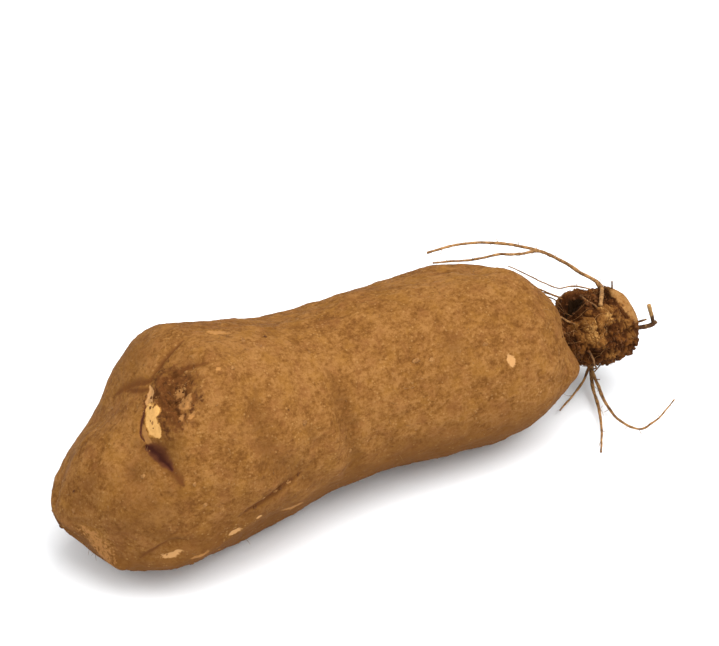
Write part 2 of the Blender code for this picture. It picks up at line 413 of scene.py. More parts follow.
def tube(path: Array, radius: Array, sides: int) -> tuple[Array, Array]:
    """A round tube with closed ends.

    Args:
        path: places along its middle.
        radius: its radius at each place.
        sides: points round it.

    Returns:
        Points and faces.
    """
    way = unit(np.gradient(path, axis=0))
    across = unit(np.cross(way, TUBE_SIDE))
    other = np.cross(way, across)
    angle = np.arange(sides) / sides * 2 * np.pi
    ring = across[:, None] * np.cos(angle)[:, None] + other[:, None] * np.sin(angle)[:, None]
    shell = path[:, None] + ring * np.broadcast_to(radius, len(path))[:, None, None]
    ends = np.stack([path[0] - way[0] * radius[0] * 0.3, path[-1] + way[-1] * radius[-1] * 0.3])
    return np.concatenate([shell.reshape(-1, 3), ends]), wrapped_faces(len(path), sides)


def shell_of(stations: tuple, x: Array, turn: Array, opened: Array) -> Array:
    """A body's points from its stations: x, the middle's y and z, the half width and half height."""
    y, z, side, up = through(stations, x)
    return np.stack([x, y - side * opened * np.sin(turn), z + up * opened * np.cos(turn)], -1)


def closed_body(name: str, points: Array, masks: dict, segments: int, ends: tuple = ()) -> Piece:
    """Makes a piece from rings of points, with a tip in the middle of both end rings.

    Args:
        name: the piece's name.
        points: the rings' points in order.
        masks: named numbers, one to a point.
        segments: points in a ring.
        ends: the x of both tips, where it isn't that of the end rings.

    Returns:
        The object, with its masks as attributes.
    """
    tips = np.stack([points[:segments].mean(0), points[-segments:].mean(0)])
    if ends:
        tips[:, 0] = ends
    masks = {mask: np.append(values, [values[0], values[-1]]) for mask, values in masks.items()}
    weave = Weave()
    weave.add(np.concatenate([points, tips]), wrapped_faces(len(points) // segments, segments), **masks)
    return weave.make(name)


@dataclass(frozen=True)
class Tuber:
    """The storage tuber: its stations, bulges, creases and grazes."""

    tail_x: float = -160
    neck_x: float = 146
    tail_rounding: float = 24
    tail_power: float = 2.2
    head_start: float = 76
    head_end: float = 151
    head_power: float = 2.2
    head_skew: tuple = (Swell(0, 56, 1, 28, 4.8), Swell(0, 97, 1, 10, -3.6))
    radius: float = 56
    neck_share: float = 0.985
    neck_calm: float = 12
    segments: int = 316
    rings: int = 296
    tail_bend: float = 0.05
    scar_rings: tuple = (0.17, 0.09, 1.8)
    scar_turns: tuple = (0.57, 0.12, 1.1)
    # Turns towards the underside where the soil mask rises: painted shade in the soil colour, which also
    # draws a few crumbs.
    soil_and_shade_turns: tuple = (96, 150)
    # Turns where painted shade darkens the underside.
    underside_shade_turns: tuple = (84, 122)
    stations: tuple = (
        (-160, 2, 40, 20, 19), (-150, 0, 41, 26, 26), (-141, -3, 41, 33, 33), (-130, -5, 43, 40, 40),
        (-108, -5, 52, 51, 50), (-80, 0, 59, 60, 60), (-50, -1, 57, 57, 57), (-16, 1, 54, 52, 51),
        (20, 0, 53, 51, 50), (58, -3, 51, 54, 52), (90, -6, 51, 55, 53), (120, -10, 51, 56, 53),
        (146, -15, 47, 58, 56),
    )
    bulges: tuple = rows_of(Swell,
        (-97, -34, 18, 24, 5), (-78, 24, 16, 20, 4), (-103, 26, 6, 18, 3), (-99, 18, 8, 10, -5),
        (-122, 30, 11, 22, -4), (-122, -24, 9, 20, -4), (-134, 62, 13, 18, 4), (-149, 42, 7, 9, -2.5),
        (-128, 40, 4, 9, -2.2), (-112, 62, 12, 14, 2), (122, 98, 9, 14, -1.5), (-60, 72, 22, 24, 2),
        (-34, 72, 4, 6, -1.2), (-7, 71, 4, 6, -1.2), (-20, 70, 12, 20, 2.5), (-74, 170, 26, 40, 2),
        (30, -120, 30, 30, 2.5), (70, 20, 36, 30, 1.5),
    )
    outline_trims: tuple = rows_of(Swell,
        (-124, -46, 9, 14, -1.4), (-111, -36, 9, 14, 2), (-89, -30, 10, 14, -1.2),
        (-16, -24, 16, 14, -3.2), (9, -27, 11, 14, -2), (30, -20, 13, 14, 1.2), (92, -13, 20, 14, -3),
        (106, -18, 9, 14, -2.5), (124, 0, 9, 14, 3), (114, 110, 12, 14, 2.2), (-56, 124, 20, 18, -3.6),
        (-24, 119, 14, 14, -1.8), (-112, 119, 16, 14, 3), (-134, 119, 4, 10, -1), (-144, 118, 6, 10, 6.2),
        (-153, 152, 7, 30, -1.6), (-157, -150, 7, 36, -2.2), (-148, -52, 9, 14, -3),
        (-154, 124, 8, 14, -2.8), (-157, -28, 8, 18, -3.6), (-147, -36, 12, 16, -3.4),
    )
    creases: tuple = rows_of(Fold,
        (((-76, 18), (-82, 14), (-88, 10.5), (-93, 7), (-99, 5), (-105, 3)), 3.6, -3.6),
        (((-79, -3.6), (-84, -3), (-88, -2.8), (-93, -3), (-98, -3.4), (-104, -1.6)), 1.8, -1.9),
        (((-124, -44), (-118, -30), (-113, -18), (-107, -6)), 7, -2.4),
        (((-113, -25), (-110.5, -20), (-108, -15), (-105, -7.4), (-102, -2)), 1.6, -1.7),
        (((-111, -18), (-109.7, -12), (-108.6, -5), (-106, 1)), 1.3, -1.2),
        (((-114, -24), (-112.6, -14), (-111.2, -6), (-107.3, 0.5)), 1.4, -1),
        (((-103, 0), (-108, 4.5), (-111.8, 8), (-115, 14), (-116.6, 19), (-115.8, 26)), 1.3, -2.4),
        (((-116, 23), (-114.4, 29), (-112.7, 36), (-111.8, 43), (-111.8, 51)), 4, -8),
        (((-124, 33), (-127.5, 39), (-133, 44), (-138, 51), (-144, 59)), 4, -2),
        (((-147, 76), (-145, 86), (-143.8, 100), (-143, 112)), 1.8, -1.1),
        (((-20, 28), (-23.4, 38), (-23.1, 65), (-23, 81), (-16, 116)), 6, 1.8),
        (((-13, 46), (-12, 66), (-12, 80), (-9, 110)), 5.5, -2.6),
        (((-60, 40), (-64, 54), (-64.4, 64), (-62, 76), (-47, 84), (-35, 98)), 8, -3),
        (((2, 60), (4, 84), (12, 104)), 8, -1.6),
        (((-132, 103), (-127, 97), (-120, 95), (-110, 98)), 2.4, -1.1),
        (((-82, 99), (-74, 97), (-66, 93.5), (-58, 90), (-46, 88)), 2.4, -2.2),
        (((-138, 114), (-118, 112), (-98, 113), (-76, 109), (-52, 104)), 5, 1.2),
        (((-30, -60), (-26, -100), (-34, -140)), 9, -2.4), (((40, 200), (44, 236), (36, 270)), 10, -1.8),
        (((-120, 190), (-112, 226), (-118, 262)), 8, -2.4),
    ) + (
        Ledge(((-99, -2), (-104, 5.5), (-108, 11.5), (-111.3, 18.5), (-113.5, 27), (-112, 38)), 2.6, 5, 9),
    )
    soft_lumps: tuple = (Lumps(34, 1.6, 3), Lumps(15, 0.6, 8))
    fine_lumps: tuple = (
        Lumps(7, 0.45, 5), Lumps(3.4, 0.32, 13), Lumps(1.7, 0.18, 29),
        Lumps(2.4, 0.2, 41, stretch=(0.35, 1, 1)),
    )
    torn_lumps: tuple = rows_of(Lumps,
        (5.5, 1.1, 17, Grain.CLODDED), (3.4, 0.9, 19, Grain.RIDGED), (1.7, 0.5, 23, Grain.CLODDED),
    )
    wrinkles: Lumps = Lumps(3.2, 0.5, 37, Grain.RIDGED, (1, 0.4, 0.4))
    wander: tuple = (Lumps(7, 1, 91), Lumps(2.6, 0.55, 97), Lumps(7, 1, 103), Lumps(2.6, 0.55, 109))
    flesh: tuple = (
        Band(((-108.3, 5), (-109.6, 9), (-110.8, 14), (-111.6, 20), (-111.7, 24), (-111.2, 29)), 2.9),
        Spot(-109, 17, 3.3, 3.6),
    )
    graze: tuple = (
        Band(((-103.6, -1), (-106, 3), (-108, 7), (-110, 13)), 2.2),
    ) + rows_of(Spot,
        (-120, 104.5, 6, 2.6), (89.7, 60.7, 3, 4.4), (-86, 109.5, 5, 2.2), (-72, 107, 2.6, 1.4),
    )
    pale: tuple = (
        Band(((-114.4, 13), (-115.2, 19), (-115.2, 24), (-114.2, 28)), 1.2),
    ) + rows_of(Spot,
        (-58, -6, 8, 3), (-94.5, 19, 2.8, 2.8), (-93, 24.5, 1.6, 2), (-96, 26, 4, 3.6),
        (-100.8, 30.5, 2.6, 1.7), (-95.5, 33.5, 2, 1.4), (-74.6, 22.9, 1.6, 1.4), (-47, 117, 9, 3),
        (-107, 113, 6, 2),
    )
    cork: tuple = (Band(((-153, 78), (-151.5, 85), (-150, 92), (-148, 106), (-145.5, 124)), 8),)
    # Painted shade in the crevice under the lip, darkest in its core.
    crevice_shade: tuple = (
        Band(((-108, 4.5), (-112, 8), (-115.2, 13), (-117, 18), (-116, 25)), 0.9),
        Band(((-116, 25), (-115.2, 29.5), (-113.7, 36), (-112.6, 42), (-111.8, 50)), 4.2),
    )
    # Painted shade along the creases, in the scar colour.
    crease_shade: tuple = rows_of(Band,
        (((-77, 17), (-82, 14), (-88, 10.5), (-93, 7), (-99, 5), (-104, 4)), 3.6),
        (((-99, -1), (-100.5, 8), (-102.5, 15), (-103.5, 22), (-103.5, 29), (-102.5, 36)), 4),
        (((-78, -3.8), (-84, -3), (-88, -2.8), (-93, -3), (-98, -3.4), (-104, -1.6)), 2.6),
        (((-114, -27), (-110.5, -20), (-108, -15), (-105, -7.4), (-101, 0)), 3.4),
        (((-111, -18), (-109.4, -12), (-108, -5), (-104, 2)), 2.6),
        (((-113.5, 40), (-112.5, 48), (-110.8, 55), (-110, 61)), 2.8),
        (((-83, 99), (-74, 97), (-66, 93.5), (-58, 90), (-45, 88)), 2.6),
        (((-134, 106), (-129, 98), (-126, 95.5), (-120, 95)), 2.4),
    )
    # Painted shade: soft dark patches on the hollows, the tail and the underside, in the soil colour.
    shadow: tuple = rows_of(Spot,
        (-152, 46, 14, 22), (-145, 24, 10, 14), (-153, 68, 9, 12), (-129, 36, 12, 15), (-120, 22, 6, 8),
        (60, 42, 12, 11), (60, 106, 14, 8), (-130, 64, 26, 28), (-100, 14, 22, 24), (-100, -26, 20, 24),
        (-52, 84, 14, 12), (-36, 66, 5, 8), (-7, 71, 5, 6), (52, -12, 16, 4), (48, 122, 100, 40),
        (-90, 124, 50, 16),
    ) + rows_of(Band,
        (((-119, 20), (-117, 33), (-116, 41), (-113, 50), (-110.4, 58)), 9),
        (((-123, 32), (-127.5, 39), (-133, 44), (-138, 51), (-146, 62)), 7),
        (((-132, 74), (-127, 81), (-120, 92), (-112, 97)), 8),
        (((-60, 36), (-64, 54), (-64.4, 64), (-62, 76), (-47, 86), (-33, 102)), 13),
        (((-13, 34), (-11, 66), (-10, 80), (-6, 112)), 9),
    )
    # Painted light: spots where the skin is lightened towards the light colour.
    bright: tuple = rows_of(Spot,
        (-60, 6, 16, 15), (-76, 54, 9, 9), (-125, 70, 15, 8), (-89, 6, 4, 4), (-89, 24, 4, 4),
        (-40, 107, 14, 4), (-127, -12, 8, 9), (-150, -3, 7, 10),
    )
    scar: tuple = (Spot(-99, 17, 17, 22),)
    soil: tuple = (Band(((-84, 99), (-74, 97), (-66, 93.5), (-58, 90), (-44, 88)), 5),)

    def bare_form(self, x: Array, turn: Array) -> tuple[Array, Array]:
        """The tuber without its relief.

        Args:
            x: places along the yam.
            turn: angles in radians.

        Returns:
            Points, and how far the tuber has opened there.
        """
        opened = rounding((self.tail_x + self.tail_rounding - x) / self.tail_rounding, self.tail_power)
        skew = heights(self.head_skew, Chart(np.zeros_like(x), turn, self.radius))
        head = (x + skew - self.head_start) / (self.head_end - self.head_start)
        opened = opened * rounding(head, self.head_power)
        return shell_of(self.stations, x, turn, opened), opened

    def masks(self, chart: Chart) -> dict[str, Array]:
        """Where the skin is bare, dark or soiled, and where shade and light are painted on it.

        Args:
            chart: the places.

        Returns:
            Named numbers, one to a place.
        """
        masks = {name: deepest(getattr(self, name), chart) for name in ("flesh", "pale", "graze")}
        for name in ("crevice_shade", "scar", "crease_shade", "shadow", "bright", "cork", "soil"):
            masks[name] = np.clip(deepest(getattr(self, name), chart), 0, 1)
        side = np.abs(np.degrees(chart.turn))
        # The soil mask is real soil along the seam and rises towards the underside as painted shade.
        masks["soil"] = np.clip(masks["soil"] + 0.3 * smooth_step(side, *self.soil_and_shade_turns), 0, 1)
        # Painted shade on the underside.
        masks["underside_shade"] = smooth_step(side, *self.underside_shade_turns)
        return masks

    def skin(self, x: Array, turn: Array) -> tuple[Array, dict[str, Array]]:
        """The finished surface. Marks and creases wander a little aside and so get ragged edges.

        Args:
            x: places along the yam.
            turn: angles in radians.

        Returns:
            Points, and the masks with the height of the fine relief.
        """
        points, opened = self.bare_form(x, turn)
        chart = Chart(x, turn, self.radius)
        aside = [lumps.at(points) for lumps in self.wander]
        ragged = Chart(x + aside[0] + aside[1], turn + (aside[2] + aside[3]) / self.radius, self.radius)
        masks = self.masks(ragged)
        height = heights(self.bulges + self.outline_trims, chart)
        height += heights(self.creases, ragged)
        height += layered(self.soft_lumps, points)
        masks["relief"] = layered(self.fine_lumps, points)
        bare = smooth_step(np.maximum(masks["flesh"], masks["graze"]), 0, 0.3)
        torn_share = smooth_step(deepest(self.scar, chart), 0.05, 0.5)
        torn = layered(self.torn_lumps, points) * torn_share
        wrinkles = self.wrinkles.at(points) * masks["cork"] ** 0.5
        height += masks["relief"] * (1 - 0.6 * bare) + torn * (1 - bare) - 0.5 * bare + wrinkles
        calm = np.clip(opened * 2, 0, 1) * np.clip((self.neck_x - x) / self.neck_calm, 0, 1)
        points = points + outward(turn) * (height * calm)[:, None]
        points[:, 2] = np.maximum(points[:, 2], 0)
        return points, masks

    def build(self) -> Piece:
        """Makes the tuber's mesh.

        Returns:
            The object, with its masks as attributes.
        """
        share = eased(np.arange(1, self.rings) / self.rings, self.tail_bend)
        share = crowded(share, *self.scar_rings)
        ring_x = self.tail_x + (self.neck_x - self.tail_x) * np.clip(share / self.neck_share, 0, 1)
        even = np.arange(self.segments) / self.segments
        x = np.repeat(ring_x, self.segments)
        turn = np.tile((crowded(even, *self.scar_turns) * 2 - 1) * np.pi, len(ring_x))
        points, masks = self.skin(x, turn)
        closing = np.repeat(np.clip((1 - share) / (1 - self.neck_share), 0, 1), self.segments)
        centre = np.stack([x, *through(self.stations, x)[:2]], -1)
        points = centre + (points - centre) * closing[:, None]
        return closed_body("yam_tuber", points, masks, self.segments, (self.tail_x, self.neck_x))


@dataclass(frozen=True)
class Crown:
    """The woody head that the tuber hangs from."""

    base_x: float = 143
    end_x: float = 200
    end_rounding: float = 13
    end_power: float = 2.4
    cap: Spot = Spot(196, 20, 12.5, 19.5)
    radius: float = 22
    base_calm: float = 5
    cap_height: float = 1.2
    segments: int = 280
    rings: int = 250
    end_bend: float = 0.12
    stations: tuple = (
        (143, -15, 46, 12, 12), (146, -15, 46, 12.2, 12.2), (150, -15, 46, 12.2, 12.2),
        (156, -15.6, 45.2, 12.8, 12.8), (159.6, -16, 44.8, 17.4, 17.4), (163.6, -16, 44.6, 22.2, 22.2),
        (170, -16, 43.8, 23.3, 23), (180, -16, 42.4, 22.8, 22.6), (190, -17, 42, 21.5, 20.5),
        (200, -18, 43, 19, 17),
    )
    knobs: tuple = rows_of(Swell,
        (162.6, -10, 5.2, 5.6, -7), (157.5, -42, 6, 13, -6), (193, 13, 7, 15, 3.6), (153, 96, 7, 16, 4),
        (172, -30, 14, 12, -2.6), (184.5, 0, 4.5, 5, -2.6), (160, 55, 8, 10, 2.4), (150.5, 66, 4, 8, -3),
        (172, 66, 4, 5, -2.2), (173, 36, 5, 6, 1.4), (184, 44, 5, 6, 1.2), (180, 84, 7, 7, 1.2),
        (171, 97, 7, 6, 1.4), (162, 101, 5, 5, -2.4), (168, 132, 6, 6, -2.5), (176, -60, 7, 7, 2.2),
        (188, -100, 6, 7, -3), (166, -120, 6, 6, 2.2), (181, -160, 6, 6, -2.5),
    )
    creases: tuple = rows_of(Fold,
        (((152, 40), (166, 66), (181, 74), (192, 64)), 2.4, -1.8),
        (((164, -20), (175, 0), (186, 6)), 2.4, -1.6), (((156, -70), (171, -88), (187, -80)), 2.4, -2.2),
        (((156, 150), (171, 172), (184, 200)), 2.4, -2.2),
    )
    soft_lumps: tuple = (Lumps(10, 1.6, 21), Lumps(5, 0.9, 34))
    rough_lumps: tuple = rows_of(Lumps,
        (5.4, 0.85, 45, Grain.CLODDED), (2.9, 0.85, 51, Grain.CLODDED), (1.5, 0.6, 57, Grain.CLODDED),
        (0.8, 0.25, 63),
    )
    skin_back: float = 0.4
    tan: tuple = rows_of(Spot,
        (161, 57, 10, 13), (174, 42, 8, 6), (173, 29, 7, 5), (172, 98, 6, 5), (182, 53, 7, 6),
        (187, 72, 4, 5), (170, -62, 9, 9), (176, 178, 10, 9),
    )
    # Dark patches: painted shade round the cavity and the hollows, and darker wood elsewhere.
    dark: tuple = rows_of(Spot,
        (162, -6, 16, 18), (183, 2, 8, 10), (172, 82, 8, 7), (150.5, 68, 8, 13), (162, 99, 9, 8),
        (166, -100, 14, 12), (190, 130, 10, 14),
    )
    # The cavity, which is painted nearly black as shade.
    cavity: Spot = Spot(162.8, -10, 6.6, 7)

    def surface(self, x: Array, turn: Array) -> tuple[Array, dict[str, Array]]:
        """The crown's rough surface.

        Args:
            x: places along the yam.
            turn: angles in radians.

        Returns:
            Points, and masks of the bare wood, the dark patches of painted shade and darker wood, and the
            fine relief.
        """
        opened = rounding((x - self.end_x + self.end_rounding) / self.end_rounding, self.end_power)
        points = shell_of(self.stations, x, turn, opened)
        chart = Chart(x, turn, self.radius)
        height = heights(self.knobs + self.creases, chart)
        height += layered(self.soft_lumps, points)
        cap = smooth_step(self.cap.at(chart), 0, 0.3)
        rough = layered(self.rough_lumps, points) * (1 - 0.85 * cap)
        height = height * (1 - 0.6 * cap) + rough + self.cap_height * cap - self.skin_back
        calm = opened * np.clip((x - self.base_x) / self.base_calm, 0, 1)
        points = points + outward(turn) * (height * calm)[:, None]
        masks = {"tan": deepest(self.tan, chart), "relief": rough + 0.25 * height, "cap": cap}
        masks["dark"] = np.clip(deepest(self.dark, chart), 0, 1)
        masks["cavity"] = np.clip(self.cavity.at(chart), 0, 1)
        return points, masks

    def build(self) -> Piece:
        """Makes the crown's mesh.

        Returns:
            The object, with its masks as attributes.
        """
        back = eased(1 - np.arange(1, self.rings) / self.rings, self.end_bend)
        x = np.repeat(self.end_x - (self.end_x - self.base_x) * back, self.segments)
        turn = np.tile((np.arange(self.segments) / self.segments * 2 - 1) * np.pi, self.rings - 1)
        return closed_body("yam_crown", *self.surface(x, turn), self.segments)


@dataclass(frozen=True)
class Strand:
    """One root or twig: its route, its thickness at both ends, its knots, sway and pale share."""

    places: tuple[tuple[float, float, float], ...]
    thickness: float
    tip: float
    knots: float = 0.16
    sway: float = 0.35
    ripe: float = 1.0

    def path(self, step: float, seed: int) -> tuple[Array, Array]:
        """The strand's middle and radius.

        Args:
            step: millimetres from point to point.
            seed: which of its possible sways it takes.

        Returns:
            Places along the middle, and the radius at each.
        """
        places = np.array(self.places, float)
        way = np.concatenate([[0], np.cumsum(np.linalg.norm(np.diff(places, axis=0), axis=1))])
        at = np.linspace(0, way[-1], max(4, int(round(way[-1] / step)) + 1))
        middle = through(np.column_stack([way, places]), at).T
        sway = np.stack([Lumps(6, self.sway, seed + k).at(middle) for k in range(3)], -1)
        radius = (self.thickness + (self.tip - self.thickness) * (at / way[-1])) / 2
        knots = Lumps(2.6, self.knots, seed + 5).at(middle)
        knots += Lumps(1.1, self.knots / 2, seed + 6).at(middle)
        return middle + sway * np.clip(at / 8, 0, 1)[:, None], radius * (1 + knots)


@dataclass(frozen=True)
class Spray:
    """A spray of strands that stand in the crown, with short side rootlets."""

    name: str
    slot: Slot
    strands: tuple[Strand, ...]
    side_rootlets: int
    seed: int
    nodes: tuple[str, ...] = ()
    rootlet_lengths: tuple[float, float] = (1.5, 5.5)
    sides: int = 12
    step: float = 0.7

    def build(self) -> Piece:
        """Makes the spray's mesh.

        Returns:
            The object.
        """
        weave = Weave()
        draw = np.random.default_rng(self.seed)
        for number, strand in enumerate(self.strands):
            middle, radius = strand.path(self.step, self.seed + 11 * number)
            points, faces = tube(middle, radius, self.sides)
            along = np.append(np.repeat(np.linspace(0, 1, len(middle)), self.sides), [0, 1]) * strand.ripe
            weave.add(points, faces, along=along)
            way = unit(np.gradient(middle, axis=0))
            for _ in range(int(self.side_rootlets * len(middle) / 100)):
                at = draw.integers(6, len(middle) - 2)
                side = unit(np.cross(way[at], draw.normal(size=3)))
                length = draw.uniform(*self.rootlet_lengths)
                curl = draw.normal(size=3) * 0.35
                share = np.linspace(0, 1, 8)[:, None]
                path = middle[at] + (side + way[at] * 0.5) * length * share + curl * length * share**2
                path[:, 2] = np.maximum(path[:, 2], 0.25)
                points, faces = tube(path, 0.22 - 0.14 * share[:, 0], 5)
                weave.add(points, faces, along=np.full(len(points), at / len(middle)))
        return weave.make(self.name)


@dataclass(frozen=True)
class Rootlets:
    """The mat of fine rootlets that clings to the crown and crosses the neck."""

    count: int = 56
    neck_count: int = 9
    neck_points: int = 12
    stride: float = 1.3
    starts: tuple[float, float] = (148, 186)
    span: tuple[float, float] = (147, 189)
    thickness: tuple[float, float] = (0.08, 0.22)
    seed: int = 77

    def build(self, tuber: Tuber, crown: Crown) -> Piece:
        """Makes the mat.

        Args:
            tuber: the tuber that the neck's rootlets reach.
            crown: the crown that they cling to.

        Returns:
            The object.
        """
        draw = np.random.default_rng(self.seed)
        weave = Weave()
        for _ in range(self.count):
            steps = draw.integers(9, 22)
            x = draw.uniform(*self.starts)
            turn = draw.uniform(-np.pi, np.pi)
            heading = draw.uniform(0, 2 * np.pi)
            bends = np.cumsum(draw.normal(scale=0.28, size=steps)) + heading
            xs = np.clip(x + np.cumsum(np.cos(bends)) * self.stride, *self.span)
            turns = turn + np.cumsum(np.sin(bends)) * self.stride / crown.radius
            path, masks = crown.surface(xs, turns)
            if masks["cavity"].any():
                continue
            lift = 0.3 + np.abs(draw.normal(scale=0.7)) * np.sin(np.linspace(0, np.pi, steps))
            path = self._smoothed(path) + outward(turns) * lift[:, None]
            thick = draw.uniform(*self.thickness)
            weave.add(*tube(path, np.linspace(thick, thick * 0.5, steps), 5))
        for _ in range(self.neck_count):
            turn = draw.uniform(-np.pi, 1.2)
            drift = draw.normal(scale=0.16)
            share = np.linspace(0, 1, self.neck_points)
            start, _ = crown.surface(np.array([draw.uniform(152, 164)]), np.array([turn]))
            far = np.array([draw.uniform(128, 143)])
            end, _ = tuber.skin(far, np.array([turn + drift]))
            path = start + (end - start) * share[:, None]
            lift = 0.6 + 3 * np.sin(share * np.pi) * draw.uniform(0.3, 1)
            path += outward(np.full_like(share, turn)) * lift[:, None]
            path += draw.normal(scale=0.5, size=3) * np.sin(share * 2 * np.pi)[:, None]
            thick = draw.uniform(*self.thickness)
            weave.add(*tube(path, np.linspace(thick, thick * 0.4, self.neck_points), 5))
        return weave.make("crown_rootlets")

    @staticmethod
    def _smoothed(path: Array) -> Array:
        """The path without the surface's finest bumps."""
        inner = (path[:-2] + path[1:-1] * 2 + path[2:]) / 4
        return np.concatenate([path[:1], inner, path[-1:]])


@dataclass(frozen=True)
class Crumbs:
    """Small rough lumps that lie on a surface: soil crumbs, or flat flakes of skin."""

    name: str
    slot: Slot
    sizes: tuple[float, float]
    flatness: float
    count: int
    seed: int
    variants: int = 7

    def _shapes(self) -> tuple[list[Array], Array]:
        """A few rough lumps of radius one.

        Returns:
            The points of each lump, and the faces that they share.
        """
        ball = bmesh.new()
        bmesh.ops.create_icosphere(ball, subdivisions=2, radius=1)
        points = np.array([vertex.co for vertex in ball.verts])
        faces = np.array([[v.index for v in face.verts] + [face.verts[2].index] for face in ball.faces])
        ball.free()
        shapes = []
        for number in range(self.variants):
            rough = Lumps(0.9, 0.55, self.seed + number).at(points)
            rough += Lumps(0.45, 0.3, self.seed + 9 + number).at(points)
            shapes.append(points * (1 + rough)[:, None])
        return shapes, faces

    def build(self, places: Array, normals: Array) -> Piece:
        """Lays a lump at each place.

        Args:
            places: where they lie.
            normals: which way is up there.

        Returns:
            The object.
        """
        draw = np.random.default_rng(self.seed)
        shapes, faces = self._shapes()
        weave = Weave()
        for place, up in zip(places, normals):
            size = self.sizes[0] + (self.sizes[1] - self.sizes[0]) * draw.random() ** 2.5
            side = unit(np.cross(up, draw.normal(size=3)))
            axes = np.stack([side, np.cross(up, side), up])
            scale = size * np.array([draw.uniform(0.7, 1.3), draw.uniform(0.6, 1), self.flatness])
            points = (shapes[draw.integers(self.variants)] * scale) @ axes + place
            points[:, 2] = np.maximum(points[:, 2], 0.05)
            weave.add(points, faces)
        return weave.make(self.name)


@dataclass(frozen=True)
class Hairs:
    """Short dry hairs that stand out of the skin."""

    count: int = 170
    lengths: tuple[float, float] = (0.8, 2.6)
    seed: int = 5

    def build(self, places: Array, normals: Array) -> Piece:
        """Grows a hair at each place.

        Args:
            places: where the hairs stand.
            normals: which way is out there.

        Returns:
            The object.
        """
        draw = np.random.default_rng(self.seed)
        weave = Weave()
        share = np.linspace(0, 1, 6)
        for place, out in zip(places, normals):
            length = draw.uniform(*self.lengths)
            lean = draw.normal(scale=0.6, size=3)
            curl = draw.normal(scale=0.4, size=3)
            path = place + (out + lean) * length * share[:, None] + curl * length * share[:, None] ** 2
            path[:, 2] = np.maximum(path[:, 2], 0.1)
            weave.add(*tube(path, 0.13 - 0.09 * share, 4))
        return weave.make("skin_hairs")


def numbers_of(layer: bpy.types.bpy_prop_collection, name: str, width: int = 1) -> Array:
    """Reads numbers from a mesh.

    Args:
        layer: the mesh's points, normals or a mask's values.
        name: what is read of each.
        width: how many numbers each has.

    Returns:
        The numbers, in rows where each has several.
    """
    values = np.empty(len(layer) * width, np.float32)
    layer.foreach_get(name, values)
    return (values.reshape(-1, width) if width > 1 else values).astype(float)


def scatter(piece: Piece, count: int, weight: Array, seed: int) -> tuple[Array, Array]:
    """Places drawn on a piece's surface.

    Args:
        piece: the piece to draw on.
        count: how many places.
        weight: how likely each of its points is.
        seed: which draw.

    Returns:
        Places in millimetres from the tuber's middle, and the normals there.
    """
    draw = np.random.default_rng(seed)
    chosen = draw.choice(len(weight), count, replace=False, p=weight / weight.sum())
    places = numbers_of(piece.data.vertices, "co", 3)[chosen] / MM + BOX_MIDDLE
    return places, numbers_of(piece.data.vertex_normals, "vector", 3)[chosen]


def mask_of(piece: Piece, name: str) -> Array:
    """One of the masks that a piece carries, one number to a point."""
    return numbers_of(piece.data.attributes[name].data, "value")


def math_node(operation: str, reflected: bool = False) -> Callable[["Wire", object], "Wire"]:
    """Makes an operator of a wire.

    Args:
        operation: the Math node's operation.
        reflected: whether the other value comes first.

    Returns:
        A method that adds the node.
    """

    def method(wire: "Wire", other: object) -> "Wire":
        """The Math node's value."""
        sockets = {0: other, 1: wire} if reflected else {0: wire, 1: other}
        return wire.board.node("ShaderNodeMath", {"operation": operation}, sockets)

    return method


class Wire:
    """A value in a material. Arithmetic on wires adds Math nodes."""

    __add__ = math_node("ADD")
    __radd__ = math_node("ADD", reflected=True)
    __sub__ = math_node("SUBTRACT")
    __rsub__ = math_node("SUBTRACT", reflected=True)
    __mul__ = math_node("MULTIPLY")
    __rmul__ = math_node("MULTIPLY", reflected=True)

    def __init__(self, board: "Board", socket: Socket) -> None:
        """Holds a socket of the board."""
        self.board = board
        self.socket = socket

    def clipped(self) -> "Wire":
        """The value held between 0 and 1."""
        return self.board.node("ShaderNodeClamp", {}, {"Value": self})

    def step(self, low: float, high: float) -> "Wire":
        """A soft step from 0 at low to 1 at high."""
        sockets = {"Value": self, "From Min": low, "From Max": high}
        return self.board.node("ShaderNodeMapRange", {"interpolation_type": "SMOOTHSTEP"}, sockets)


